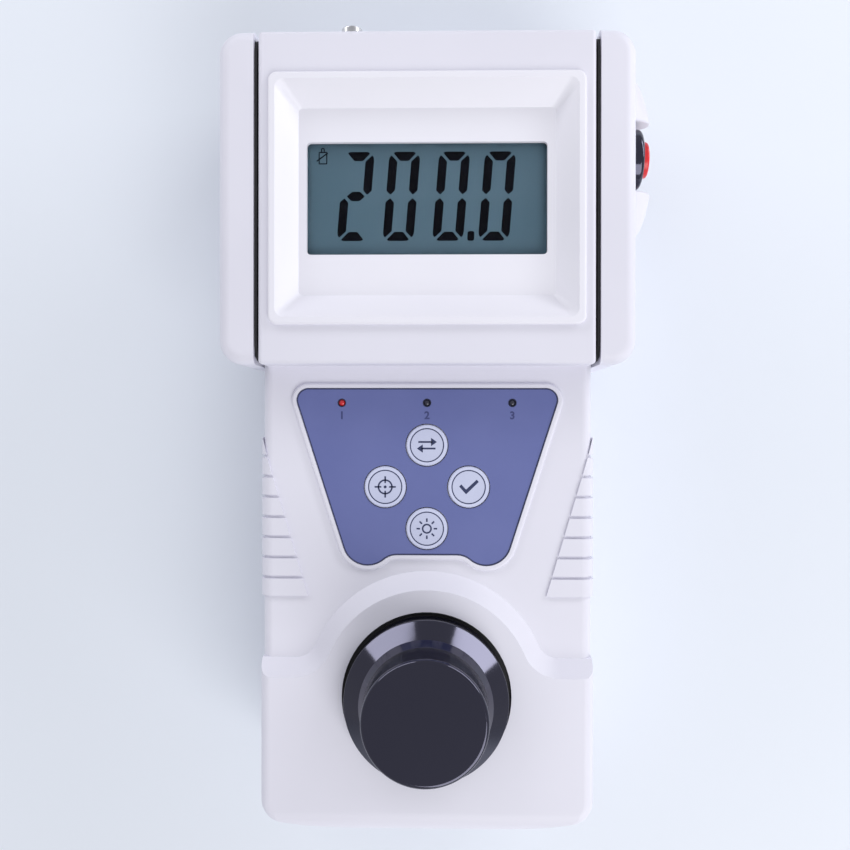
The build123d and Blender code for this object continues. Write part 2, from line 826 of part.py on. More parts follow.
def well_collar():
    """Ring round the mouth of the well, with a deep groove for the cap and a shallow one for the seal."""
    top = collar_foot + collar_height
    ring = well_ring(collar_bore_radius, collar_radius, collar_foot, top)
    inner = cap_ring_radius - cap_ring_wall - slide_gap
    ring -= well_ring(inner, cap_ring_radius + slide_gap, cap_seat - cap_ring_drop - slide_gap, top + 1)
    return ring - well_ring(seal_inner_radius, seal_outer_radius, top - seal_groove_depth, top + 1)


def well_seal():
    foot = collar_foot + collar_height - seal_groove_depth
    return well_ring(seal_inner_radius, seal_outer_radius, foot, foot + seal_height)


def sample_cap():
    """Turned light cap: wide flange, sloping skirt, a neck and a flat hollow knob."""
    outline = Polyline(
        (0, cap_seat), (cap_flange_radius - 0.6, cap_seat), (cap_flange_radius, cap_seat + 0.6),
        (cap_flange_radius, cap_flange_top), (cap_skirt_radius, cap_skirt_top),
        (cap_knob_radius, cap_knob_foot), (cap_knob_radius - cap_knob_taper, cap_top),
        (0, cap_top), close=True)
    half = make_face(Plane.XZ * outline)
    for z, radius in ((cap_flange_top, 0.4), (cap_skirt_top, 0.4), (cap_knob_foot, 1),
                      (cap_top, cap_rim_radius)):
        corner = half.vertices().filter_by_position(Axis.Z, z - 0.01, z + 0.01).sort_by(Axis.X)[-1:]
        half = fillet(corner, radius)
    form = Pos(0, well_y, 0) * revolve(half, Axis.Z)
    form -= rod(0, well_y, cap_seat - 1, cap_hollow_top, cap_hollow_radius)
    inner = cap_ring_radius - cap_ring_wall
    return form + well_ring(inner, cap_ring_radius, cap_seat - cap_ring_drop, cap_seat)


# Power switch and charger socket

def power_switch_body():
    """Push switch: a tall round bezel on the cover, a barrel through it and two solder tags."""
    top = cover_outer + switch_flange_height
    flange = rod_x(cover_outer, top, switch_y, switch_height, switch_flange_radius)
    outer = flange.edges().filter_by(GeomType.CIRCLE).sort_by(Axis.X)[-1:]
    flange = fillet(outer, switch_flange_edge)
    barrel_end = cover_outer - switch_barrel_length
    form = flange + rod_x(barrel_end, cover_outer, switch_y, switch_height, switch_barrel_radius)
    floor = cover_outer - switch_well_depth
    form -= rod_x(floor, top + 1, switch_y, switch_height, button_radius + slide_gap)
    form -= rod_x(floor, cover_outer, switch_y, switch_height, button_radius + button_collar + slide_gap)
    for y in (switch_y - 3.5, switch_y + 3.5):
        form += block(barrel_end - switch_terminal_length, barrel_end,
                      y - 1.2, y + 1.2, switch_height + 1.6, switch_height + 2.4)
    return form


def power_button():
    top = cover_outer + switch_flange_height + button_stand
    foot = cover_outer - button_foot
    form = rod_x(foot, top, switch_y, switch_height, button_radius)
    outer = form.edges().filter_by(GeomType.CIRCLE).sort_by(Axis.X)[-1:]
    form = fillet(outer, 0.6)
    return form + rod_x(foot, cover_outer - slide_gap, switch_y, switch_height, button_radius + button_collar)


def hex_ring(across, bore, thickness):
    outer = extrude(RegularPolygon(across / 2, 6, major_radius=False), thickness)
    return outer - Pos(0, 0, thickness / 2) * Cylinder(bore, thickness + 1)


def power_switch_nut():
    nut = hex_ring(20.0, switch_barrel_radius + pilot_gap, 3)
    return Pos(cover_outer - cover_wall - 3, switch_y, switch_height) * Rot(0, 90, 0) * nut


def charger_socket():
    tip = head_end + socket_stand
    form = rod_y(socket_x, head_end - wall, tip, socket_height, socket_radius)
    form = fillet(form.edges().filter_by(GeomType.CIRCLE).sort_by(Axis.Y)[-1:], 0.5)
    half = socket_radius + socket_case
    form += rod_y(socket_x, head_end - 2 * wall, head_end - wall, socket_height, half)
    form += block(socket_x - half, socket_x + half, socket_back, head_end - 2 * wall,
                  socket_height - half, socket_height + half)
    form -= rod_y(socket_x, tip - socket_bore_depth, tip + 1, socket_height, socket_bore_radius)
    return form + rod_y(socket_x, tip - socket_bore_depth, tip - 1, socket_height, socket_pin_radius)


def charger_socket_nut():
    nut = hex_ring(8.0, socket_radius + pilot_gap, 1.4)
    return Pos(socket_x, head_end, socket_height) * Rot(-90, 0, 0) * nut


# Battery bay

def battery_door():
    half = door_half_width
    top = foot_height + door_thickness
    plate = block(-half, half, door_start_y + slide_gap, head_end, foot_height, top)
    rail_foot = foot_height + (door_thickness - door_rail_height) / 2
    for y0, y1 in ((bay_ys[0] - 1, bay_middle_y - 6), (bay_middle_y + 4, bay_ys[1] - 1)):
        plate += block(-half - door_rail, half + door_rail, y0, y1, rail_foot, rail_foot + door_rail_height)
    plate &= back_form()
    for index in range(7):
        y = bay_ys[0] + 5 + index * 2.4
        plate -= block(-9, 9, y, y + 1.1, foot_height - 1, foot_height + 0.6)
    return plate


def cell_places():
    first = -cell_pitch * (cell_count - 1) / 2
    height = foot_height + door_thickness + 2 * slide_gap + cell_radius
    return [(first + index * cell_pitch, height, index % 2) for index in range(cell_count)]


def battery_cells():
    cells = Part()
    low, high = bay_ys[0] + contact_thickness, bay_ys[1] - contact_thickness
    for x, z, flip in cell_places():
        tip = 1.0
        if flip:
            y0, y1 = low + tip, low + cell_length
            nub = rod_y(x, low, y0, z, 2.6)
        else:
            y0, y1 = high - cell_length, high - tip
            nub = rod_y(x, y1, high, z, 2.6)
        can = rod_y(x, y0, y1, z, cell_radius)
        can = chamfer(can.edges().filter_by(GeomType.CIRCLE), 0.6)
        cells += can + nub
    return cells


def battery_contacts():
    """Flat plates at both ends of the bay, with a bent leaf spring for each flat cell end."""
    contacts = Part()
    y_low, y_high = bay_ys
    reach = y_high - y_low - cell_length - 2 * contact_thickness - slide_gap
    for x, z, flip in cell_places():
        for y0 in (y_low, y_high - contact_thickness):
            contacts += block(x - contact_half, x + contact_half, y0, y0 + contact_thickness,
                              z - contact_half, z + contact_half)
        root = y_high - contact_thickness if flip else y_low + contact_thickness
        out = -1 if flip else 1
        outline = Polyline(
            (root, z - 4.5), (root + out * reach, z), (root + out * 0.4 * reach, z + 4.5),
            (root + out * (0.4 * reach - 0.5), z + 4.5), (root + out * (reach - 0.6), z),
            (root, z - 3.9), close=True)
        contacts += Pos(x, 0, 0) * extrude(make_face(Plane.YZ * outline), contact_leaf_half, both=True)
    return contacts


# Feet and screws

def rubber_feet():
    feet = Part()
    for x in (-foot_x, foot_x):
        for y in foot_ys:
            pad = rod(x, y, 0, foot_height, foot_radius)
            feet += fillet(edges_at(pad, 0), 0.5)
            feet += rod(x, y, foot_height, foot_height + foot_spigot, foot_spigot_radius)
    return feet


def case_screws():
    screws = Part()
    for y in case_screw_ys:
        tip = (head_under if y > head_foot else deck_under) - wall - 2
        for x in (-case_screw_x, case_screw_x):
            screws += screw(x, y, tip, floor_top, screw_radius, screw_head_radius, screw_head_height)
    return screws


def cover_screws():
    screws = Part()
    length = cover_thickness + cover_gap - cover_wall - 1
    inner = half_width - wall
    for y, z in cover_screw_points():
        for side in (-1, 1):
            fastener = screw(0, 0, inner + wall + length, inner, screw_radius, screw_head_radius * 0.85, 1.6)
            screws += Pos(0, y, z) * Rot(0, 90 * side, 0) * fastener
    return screws


def board_screws():
    screws = Part()
    under = display_board_top - board_thickness
    for x in (-display_post_x, display_post_x):
        for y in display_post_ys:
            screws += screw(x, y, under + 6, under, small_screw_radius, small_head_radius, small_head_height)
    under = keypad_board_top - board_thickness
    for x, y in mirrored(keypad_post_places):
        screws += screw(x, y, under + 4.6, under, small_screw_radius, small_head_radius, small_head_height)
    for x in (-main_post_x, main_post_x):
        for y in main_post_ys:
            screws += Pos(x, y, main_board_top) * Rot(180, 0, 0) * screw(
                0, 0, 8, 0, small_screw_radius, small_head_radius, small_head_height)
    return screws


def cell_holder_screws():
    screws = Part()
    for x in (-block_screw_x, block_screw_x):
        for y in (well_y - block_screw_y, well_y + block_screw_y):
            screws += Pos(x, y, block_foot + 3) * Rot(180, 0, 0) * screw(
                0, 0, 6, 0, screw_radius, screw_head_radius, screw_head_height)
    return screws


# Leads and ribbons inside the housing

def soft_path(points):
    """A path of straight runs and tangent arcs, each arc as large as its two runs allow."""
    corners = [Vector(*p) for p in points]
    radii = []
    for before, here, after in zip(corners, corners[1:], corners[2:]):
        turn = (here - before).get_angle(after - here)
        run = min((here - before).length, (after - here).length)
        radii.append(0.45 * run / tan(radians(turn) / 2))
    return FilletPolyline(*points, radius=radii), radii


def lead(name, points):
    path, radii = soft_path(points)
    print(name, "length", round(path.length, 1), "radii", [round(r, 1) for r in radii])
    return sweep(Plane(path @ 0, z_dir=path % 0) * RegularPolygon(lead_radius, 8), path)


def ribbon(index, points):
    path, radii = soft_path([(ribbon_x[index], y, z) for y, z in points])
    start = Plane(path @ 0, x_dir=(1, 0, 0), z_dir=path % 0)
    return sweep(start * Rectangle(2 * ribbon_half_widths[index], ribbon_thickness), path)


def well_leads():
    end_y = main_board_ys[0] + connector_inset
    z = beam_height
    out = block_half

    def side_route(side, start, end_x):
        return [(side * start, well_y, z), (side * (out + 8), well_y, z),
                (side * (out + 12), well_y + 8, z + 1),
                (side * (out + 11), well_y + 18, z + 4), (end_x, end_y - 7, lead_height),
                (end_x, end_y, lead_height)]

    return {
        "lamp_lead": side_route(-1, out + lamp_stand, well_lead_xs[0]),
        "transmission_lead": side_route(1, out, well_lead_xs[2]),
        "scatter_lead": [(0, well_y + out, z), (0, well_y + out + 4.5, z),
                         (0, end_y - 4.5, lead_height), (0, end_y, lead_height)],
    }


def head_leads():
    end_y = main_board_ys[1] - connector_inset
    battery_x, charger_x, switch_x = head_lead_xs
    bay_y = bay_ys[0]
    terminal = cover_outer - switch_barrel_length - switch_terminal_length
    down_y = display_board_ys[1] + 1.7
    tag_y = switch_y + 3.5
    return {
        "battery_lead": [(battery_x, bay_y, battery_lead_height), (battery_x, bay_y - 9, battery_lead_height),
                         (battery_x, bay_y - 17, 18), (battery_x, end_y + 7.5, lead_height),
                         (battery_x, end_y, lead_height)],
        "charger_lead": [(socket_x, socket_back, socket_height), (socket_x, down_y, socket_height),
                         (-20.5, down_y - 0.2, 41), (-19, along(88), 34), (-15, along(66), 31),
                         (-11, along(42), 29), (charger_x, end_y + 9.5, lead_height),
                         (charger_x, end_y, lead_height)],
        "switch_lead": [(terminal, tag_y, switch_height + 2), (terminal - 7, tag_y, switch_height + 2),
                        (33, along(76), 32), (31, along(54), 30), (28, along(32), 28),
                        (switch_x, end_y + 7.5, lead_height), (switch_x, end_y, lead_height)],
    }


def keypad_ribbon():
    top = keypad_board_top - board_thickness - 1.3
    foot = main_board_top + 1.7
    y = keypad_connector_y - ribbon_connector_half
    return ribbon(0, [(y, top), (y - 6, top), (y - 8.5, (top + foot) / 2), (y - 6, foot), (y, foot)])


def display_ribbon():
    top = display_board_top - board_thickness - 1.3
    foot = main_board_top + 1.7
    y0 = display_board_ys[0] + connector_inset
    y1 = display_connector_y + ribbon_connector_half
    return ribbon(1, [(y0, top), (y0 - 8, top), (y1 + 14, (top + foot) / 2), (y1 + 8, foot), (y1, foot)])


def main():
    os.makedirs("parts", exist_ok=True)
    nodes = {
        "front_shell": front_shell(),
        "rear_shell": rear_shell(),
        "side_cover_left": side_cover(-1),
        "side_cover_right": side_cover(1),
        "display_bezel": display_bezel(),
        "display_window": display_window(),
        "lcd_glass": lcd_glass(),
        "lcd_carrier": lcd_carrier(),
        "lcd_contact_strips": lcd_contact_strips(),
        "backlight_panel": backlight_panel(),
        "display_board": display_board(),
        "keypad_overlay": keypad_overlay(),
        "tact_switches": tact_switches(),
        "indicator_leds": indicator_leds(),
        "keypad_board": keypad_board(),
        "main_board": main_board(),
        "board_components": board_components(),
        "cell_holder": cell_holder(),
        "lamp": lamp(),
        "lamp_lens": lamp_lens(),
        "transmission_detector": detector(Pos(0, well_y, beam_height) * Rot(0, 90, 0)),
        "scatter_detector": detector(Pos(0, well_y, beam_height) * Rot(-90, 0, 0)),
        "well_collar": well_collar(),
        "well_seal": well_seal(),
        "sample_cap": sample_cap(),
        "power_switch_body": power_switch_body(),
        "power_button": power_button(),
        "power_switch_nut": power_switch_nut(),
        "charger_socket": charger_socket(),
        "charger_socket_nut": charger_socket_nut(),
        "battery_door": battery_door(),
        "battery_cells": battery_cells(),
        "battery_contacts": battery_contacts(),
        "rubber_feet": rubber_feet(),
        "case_screws": case_screws(),
        "cover_screws": cover_screws(),
        "board_screws": board_screws(),
        "cell_holder_screws": cell_holder_screws(),
        "keypad_ribbon": keypad_ribbon(),
        "display_ribbon": display_ribbon(),
    }
    for name, (x, y) in key_places.items():
        nodes[name] = key(x, y)
    for routes in (well_leads(), head_leads()):
        for name, points in routes.items():
            nodes[name] = lead(name, points)
    for name, shape in nodes.items():
        export_step(shape, f"parts/{name}.step")


main()
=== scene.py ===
import math

import bmesh
import bpy
from mathutils import Matrix, Vector


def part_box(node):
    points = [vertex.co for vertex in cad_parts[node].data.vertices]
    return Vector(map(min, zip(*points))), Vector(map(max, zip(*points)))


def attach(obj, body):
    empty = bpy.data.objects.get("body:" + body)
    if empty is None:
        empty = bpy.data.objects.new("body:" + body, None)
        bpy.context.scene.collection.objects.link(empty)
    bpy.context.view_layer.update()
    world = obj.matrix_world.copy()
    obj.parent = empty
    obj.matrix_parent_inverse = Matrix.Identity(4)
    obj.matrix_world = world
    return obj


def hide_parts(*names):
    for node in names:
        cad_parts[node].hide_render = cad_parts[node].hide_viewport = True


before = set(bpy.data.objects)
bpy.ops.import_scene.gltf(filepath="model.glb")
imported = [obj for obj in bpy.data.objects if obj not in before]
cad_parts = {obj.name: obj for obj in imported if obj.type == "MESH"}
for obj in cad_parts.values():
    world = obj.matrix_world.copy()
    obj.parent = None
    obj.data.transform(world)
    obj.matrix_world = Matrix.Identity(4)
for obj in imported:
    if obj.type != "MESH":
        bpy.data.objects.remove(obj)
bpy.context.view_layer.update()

MM = 0.001
WELD = 0.001 * MM


def low(node):
    return Vector(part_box(node)[0])


def high(node):
    return Vector(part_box(node)[1])


def middle(node):
    return (low(node) + high(node)) / 2


# Materials

DRIFT_DETAIL = 5.0
DRIFT_STOPS = (0.3, 0.7)
GRAIN_DETAIL = 3.0
GRAIN_DEPTH = 0.05 * MM
LEAST_ROUGHNESS = 0.02
COAT_ROUGHNESS = 0.1
WINDOW_IOR = 1.1
WINDOW_HAZE_SCALE = 60.0
WINDOW_ROUGHNESS = (0.02, 0.06)
WINDOW_COLOUR = (0.97, 0.98, 1.0, 1)


def node_material(name):
    material = bpy.data.materials.new(name)
    material.use_nodes = True
    tree = material.node_tree
    return material, tree, tree.nodes["Principled BSDF"]


def add(tree, kind, **settings):
    item = tree.nodes.new(kind)
    for key, value in settings.items():
        setattr(item, key, value)
    return item


def surface(name, dark, light, rough, grain, bump, spread=0.06, patch=14.0,
            metallic=0.0, coat=0.0, specular=0.5, specular_tint=(1.0, 1.0, 1.0)):
    """A finish whose tint and gloss drift softly, with a fine grain (in millimetres) in relief."""
    material, tree, shader = node_material(name)
    links = tree.links
    place = add(tree, "ShaderNodeTexCoord")
    drift = add(tree, "ShaderNodeTexNoise")
    drift.inputs["Scale"].default_value = patch
    drift.inputs["Detail"].default_value = DRIFT_DETAIL
    links.new(place.outputs["Object"], drift.inputs["Vector"])
    tint = add(tree, "ShaderNodeValToRGB")
    for element, colour, stop in zip(tint.color_ramp.elements, (dark, light), DRIFT_STOPS):
        element.color = (*colour, 1)
        element.position = stop
    links.new(drift.outputs["Fac"], tint.inputs["Fac"])
    links.new(tint.outputs["Color"], shader.inputs["Base Color"])
    gloss = add(tree, "ShaderNodeMapRange")
    gloss.inputs["To Min"].default_value = max(LEAST_ROUGHNESS, rough - spread)
    gloss.inputs["To Max"].default_value = rough + spread
    links.new(drift.outputs["Fac"], gloss.inputs["Value"])
    links.new(gloss.outputs["Result"], shader.inputs["Roughness"])
    fine = add(tree, "ShaderNodeTexNoise")
    fine.inputs["Scale"].default_value = 1000.0 / grain
    fine.inputs["Detail"].default_value = GRAIN_DETAIL
    links.new(place.outputs["Object"], fine.inputs["Vector"])
    relief = add(tree, "ShaderNodeBump")
    relief.inputs["Strength"].default_value = bump
    relief.inputs["Distance"].default_value = GRAIN_DEPTH
    links.new(fine.outputs["Fac"], relief.inputs["Height"])
    links.new(relief.outputs["Normal"], shader.inputs["Normal"])
    shader.inputs["Metallic"].default_value = metallic
    shader.inputs["Coat Weight"].default_value = coat
    shader.inputs["Coat Roughness"].default_value = COAT_ROUGHNESS
    shader.inputs["Specular IOR Level"].default_value = specular
    shader.inputs["Specular Tint"].default_value = (*specular_tint, 1)
    return material


def clear_sheet():
    """Polished clear plastic with faint haze, which lets light straight through."""
    material, tree, shader = node_material("clear_window")
    shader.inputs["Transmission Weight"].default_value = 1.0
    shader.inputs["IOR"].default_value = WINDOW_IOR
    place = add(tree, "ShaderNodeTexCoord")
    haze = add(tree, "ShaderNodeTexNoise")
    haze.inputs["Scale"].default_value = WINDOW_HAZE_SCALE
    gloss = add(tree, "ShaderNodeMapRange")
    gloss.inputs["To Min"].default_value = WINDOW_ROUGHNESS[0]
    gloss.inputs["To Max"].default_value = WINDOW_ROUGHNESS[1]
    tree.links.new(place.outputs["Object"], haze.inputs["Vector"])
    tree.links.new(haze.outputs["Fac"], gloss.inputs["Value"])
    tree.links.new(gloss.outputs["Result"], shader.inputs["Roughness"])
    shader.inputs["Base Color"].default_value = WINDOW_COLOUR
    return material


HOUSING = surface("housing_plastic", (0.76, 0.75, 0.83), (0.80, 0.79, 0.87),
                  rough=0.46, grain=0.30, bump=0.10)
BEZEL = surface("bezel_plastic", (0.84, 0.83, 0.90), (0.88, 0.87, 0.93),
                rough=0.40, grain=0.35, bump=0.06)
OVERLAY = surface("overlay_film", (0.125, 0.15, 0.37), (0.145, 0.17, 0.40),
                  rough=0.42, grain=0.22, bump=0.22, patch=40)
KEY_FILM = surface("key_film", (0.55, 0.58, 0.76), (0.60, 0.63, 0.80),
                   rough=0.38, grain=0.25, bump=0.12, patch=60)
# Dark ink for the printed key rings; also painted shade as the dark line at the keypad film's
# edge.
INK_AND_GROOVE_SHADE = surface("ring_ink_and_groove_shade", (0.022, 0.03, 0.09), (0.03, 0.04, 0.11),
                   rough=0.45, grain=0.3, bump=0.1, patch=80)
# A paler ring round each key's edge: painted highlight of the raised edge.
KEY_EDGE_HIGHLIGHT = surface("key_border", (0.60, 0.63, 0.82), (0.66, 0.69, 0.87),
                     rough=0.38, grain=0.25, bump=0.1, patch=60)
NUMBER_INK = surface("number_ink", (0.040, 0.05, 0.16), (0.05, 0.06, 0.19),
                     rough=0.45, grain=0.3, bump=0.1, patch=80)
CAP_BLACK = surface("cap_black", (0.002, 0.002, 0.006), (0.004, 0.004, 0.009),
                    rough=0.11, spread=0.03, grain=0.5, bump=0.03, specular=1.0,
                    specular_tint=(0.76, 0.75, 1.0))
MOULDED_BLACK = surface("moulded_black", (0.010, 0.010, 0.013), (0.018, 0.018, 0.022),
                        rough=0.5, grain=0.4, bump=0.2)
BUTTON_RED = surface("button_red", (0.78, 0.022, 0.030), (0.86, 0.035, 0.040),
                     rough=0.28, grain=0.5, bump=0.04)
# Dark rubber for the well seal and the feet; also painted shade as the dark strips in the side
# covers' gaps.
RUBBER_AND_GAP_SHADE = surface("dark_rubber_and_gap_shade", (0.020, 0.020, 0.022), (0.032, 0.032, 0.034),
                 rough=0.75, grain=0.5, bump=0.3)
LCD_FILM = surface("lcd_film", (0.105, 0.185, 0.235), (0.125, 0.205, 0.255),
                   rough=0.40, grain=0.2, bump=0.06, patch=30, specular=0.2)
SEGMENT = surface("lcd_segment", (0.002, 0.002, 0.004), (0.004, 0.004, 0.007),
                  rough=0.5, grain=0.3, bump=0.03, specular=0.05)
LED_LIT = surface("led_lit", (0.55, 0.012, 0.022), (0.75, 0.025, 0.035),
                  rough=0.2, grain=0.5, bump=0.03, coat=0.5)
LED_DARK = surface("led_dark", (0.018, 0.018, 0.035), (0.03, 0.03, 0.05),
                   rough=0.25, grain=0.5, bump=0.03, coat=0.4)
BOARD = surface("solder_resist", (0.010, 0.09, 0.035), (0.016, 0.12, 0.05),
                rough=0.35, grain=0.6, bump=0.15, patch=70)
PACKAGE = surface("package_black", (0.012, 0.012, 0.014), (0.022, 0.022, 0.025),
                  rough=0.5, grain=0.3, bump=0.2)
PLATED = surface("plated_metal", (0.55, 0.55, 0.56), (0.66, 0.66, 0.67),
                 rough=0.28, grain=0.4, bump=0.08, metallic=1.0)
STEEL = surface("screw_steel", (0.42, 0.42, 0.43), (0.55, 0.55, 0.56),
                rough=0.35, grain=0.3, bump=0.12, metallic=1.0)
SLEEVE = surface("cell_sleeve", (0.04, 0.07, 0.18), (0.06, 0.09, 0.22),
                 rough=0.3, grain=0.5, bump=0.05)
INSULATION = surface("insulation", (0.30, 0.30, 0.33), (0.36, 0.36, 0.39),
                     rough=0.5, grain=0.4, bump=0.1)
LIGHT_GUIDE = surface("light_guide", (0.80, 0.84, 0.82), (0.86, 0.90, 0.88),
                      rough=0.3, grain=0.4, bump=0.04)
STRIP = surface("contact_strip", (0.30, 0.26, 0.36), (0.36, 0.32, 0.42),
                rough=0.6, grain=0.3, bump=0.2)
CLEAR = clear_sheet()

FINISHES = {
    HOUSING: ["front_shell", "rear_shell", "side_cover_left", "side_cover_right", "battery_door"],
    BEZEL: ["display_bezel"],
    CLEAR: ["display_window", "lamp", "lamp_lens"],
    LCD_FILM: ["lcd_glass"],
    MOULDED_BLACK: ["lcd_carrier", "cell_holder", "well_collar", "power_switch_nut",
                    "transmission_detector", "scatter_detector"],
    STRIP: ["lcd_contact_strips"],
    LIGHT_GUIDE: ["backlight_panel"],
    BOARD: ["display_board", "keypad_board", "main_board"],
    PACKAGE: ["board_components", "tact_switches"],
    OVERLAY: ["keypad_overlay"],
    KEY_FILM: ["key_top", "key_left", "key_right", "key_bottom"],
    LED_DARK: ["indicator_leds"],
    RUBBER_AND_GAP_SHADE: ["well_seal", "rubber_feet"],
    CAP_BLACK: ["sample_cap", "power_switch_body"],
    BUTTON_RED: ["power_button"],
    PLATED: ["charger_socket", "charger_socket_nut", "battery_contacts"],
    STEEL: ["case_screws", "cover_screws", "board_screws", "cell_holder_screws"],
    SLEEVE: ["battery_cells"],
    INSULATION: ["keypad_ribbon", "display_ribbon", "lamp_lead", "transmission_lead",
                 "scatter_lead", "battery_lead", "charger_lead", "switch_lead"],
}


def dress_nodes():
    for material, names in FINISHES.items():
        for name in names:
            mesh_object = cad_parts[name]
            for slot in mesh_object.material_slots:
                slot.material = material


# Printed and moulded shapes, drawn in millimetres

PRINT_THICKNESS = 0.03 * MM
CORNER_CUT = 0.12
RING_STEPS = 72
DISC_STEPS = 24


def softened(outline, cut=CORNER_CUT):
    """The outline with each corner cut back a little, as print and moulding leave it."""
    points = [Vector(p) for p in outline]
    soft = []
    for before, here, after in zip(points[-1:] + points[:-1], points, points[1:] + points[:1]):
        for other in (before, after):
            run = other - here
            soft.append(here + run.normalized() * min(cut, run.length / 3))
    return [tuple(p) for p in soft]


def piece_from(bm, name, material, body, smooth=False):
    """Turns a finished bmesh into a dressed piece that rides on its body."""
    bmesh.ops.recalc_face_normals(bm, faces=bm.faces)
    mesh = bpy.data.meshes.new(name)
    bm.to_mesh(mesh)
    bm.free()
    if smooth:
        mesh.shade_smooth()
    mesh.materials.append(material)
    piece = bpy.data.objects.new(name, mesh)
    bpy.context.scene.collection.objects.link(piece)
    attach(piece, body)
    return piece


def printed(name, outlines, height, material, body, thickness=PRINT_THICKNESS):
    """A print: closed outlines in plan, standing by its thickness on a surface at that height."""
    bm = bmesh.new()
    for outline in outlines:
        base = [bm.verts.new((x * MM, y * MM, height)) for x, y in outline]
        raised = bmesh.ops.extrude_face_region(bm, geom=[bm.faces.new(base)])
        tops = [v for v in raised["geom"] if isinstance(v, bmesh.types.BMVert)]
        bmesh.ops.translate(bm, verts=tops, vec=(0, 0, thickness))
    return piece_from(bm, name, material, body)


def placed(outlines, x, y):
    return [[(px + x, py + y) for px, py in outline] for outline in outlines]


def ring(inner, outer):
    """A ring about the origin, as short closed quads."""
    quads = []
    for index in range(RING_STEPS):
        turn = [math.radians(360.0 * (index + k) / RING_STEPS) for k in (0, 1)]
        corners = [(inner, turn[0]), (outer, turn[0]), (outer, turn[1]), (inner, turn[1])]
        quads.append([(r * math.cos(a), r * math.sin(a)) for r, a in corners])
    return quads


def disc(radius):
    turns = [2 * math.pi * index / DISC_STEPS for index in range(DISC_STEPS)]
    return [(radius * math.cos(turn), radius * math.sin(turn)) for turn in turns]


def bar(x0, y0, x1, y1, width):
    """A straight stroke between two points."""
    length = math.hypot(x1 - x0, y1 - y0)
    nx, ny = -(y1 - y0) / length * width / 2, (x1 - x0) / length * width / 2
    return [(x0 + nx, y0 + ny), (x0 - nx, y0 - ny), (x1 - nx, y1 - ny), (x1 + nx, y1 + ny)]


# Switch guard, and the dark strips of painted shade in the gaps beside the side covers

BOSS_MIDDLE = (84.6, 31.0)
BOSS_RADIUS = 24.3
BOSS_HEIGHT = 9.0
BOSS_CROWN = 85.0
BOSS_EDGE = 3.0
SWITCH_MIDDLE = (86.0, 31.0)
FIN_START = 10.6
FIN_REACHES = {1: 26.3, -1: 25.3}
FIN_HEIGHT = 10.6
FIN_CROWN = 127.0
FIN_HALF_WIDTH = 7.0
FIN_ROWS = 24
FIN_STEPS = 24
FIN_SOFT_EDGE = 0.8
FIN_EDGE_STEPS = 4
FIN_FOOT = -0.3
FIN_BLUNTNESS = 20
FIN_TIP_SHARE = 0.9995
POCKET_SKIN = 0.6
PLANE_SLACK = 0.02
BOSS_FOOT_SLACK = 0.1
BOSS_SKIN_SLACK = 1.0
COLLAPSE = 0.003 * MM
SHARP_ANGLE = math.radians(32)
# A dark strip of painted shade deep in each side cover's gap
GAP_SHADE_INSET = 1.2
GAP_SHADE_DEPTH = 4.8
GAP_SHADE_XS = (48.2, 48.9)
GAP_SHADE_CORNER = 5.6
GAP_SHADE_CORNER_STEPS = 8


def boss_height(reach):
    """How high the round boss of the solid stands, at that distance from its middle."""
    flat = BOSS_RADIUS - BOSS_EDGE
    drop = BOSS_CROWN - math.sqrt(BOSS_CROWN ** 2 - min(reach, flat) ** 2)
    if reach <= flat:
        return BOSS_HEIGHT - drop
    edge = math.sqrt(max(0.0, BOSS_EDGE ** 2 - (reach - flat) ** 2))
    return BOSS_HEIGHT - drop - BOSS_EDGE + edge


def fin(bm, side, outer):
    """One fin beside the switch: upright at the switch, round across, narrowing to its tip."""
    reach = FIN_REACHES[side]
    loops = []
    for row in range(FIN_ROWS + 1):
        along = FIN_START + (reach - FIN_START) * math.sin(row / FIN_ROWS * math.pi / 2)
        share = min(along / reach, FIN_TIP_SHARE)
        half = FIN_HALF_WIDTH * math.sqrt(1 - share ** 2)
        rise = (FIN_HEIGHT - along ** 2 / FIN_CROWN) * math.sqrt(1 - share ** FIN_BLUNTNESS)
        section = [(FIN_FOOT, half)]
        for step in range(FIN_STEPS + 1):
            turn = math.pi * step / FIN_STEPS
            section.append((rise * math.sin(turn), half * math.cos(turn)))
        section.append((FIN_FOOT, -half))
        y = SWITCH_MIDDLE[0] + side * along
        loops.append([bm.verts.new(((outer + x) * MM, y * MM, (SWITCH_MIDDLE[1] + z) * MM))
                      for x, z in section])
    for first, second in zip(loops, loops[1:]):
        for index in range(len(first)):
            after = (index + 1) % len(first)
            bm.faces.new((first[index], first[after], second[after], second[index]))
    end = bm.faces.new(loops[0])
    bm.faces.new(loops[-1])
    bmesh.ops.recalc_face_normals(bm, faces=bm.faces)
    bmesh.ops.bevel(bm, geom=end.edges[:], offset=FIN_SOFT_EDGE * MM, segments=FIN_EDGE_STEPS,
                    profile=0.5, affect="EDGES")


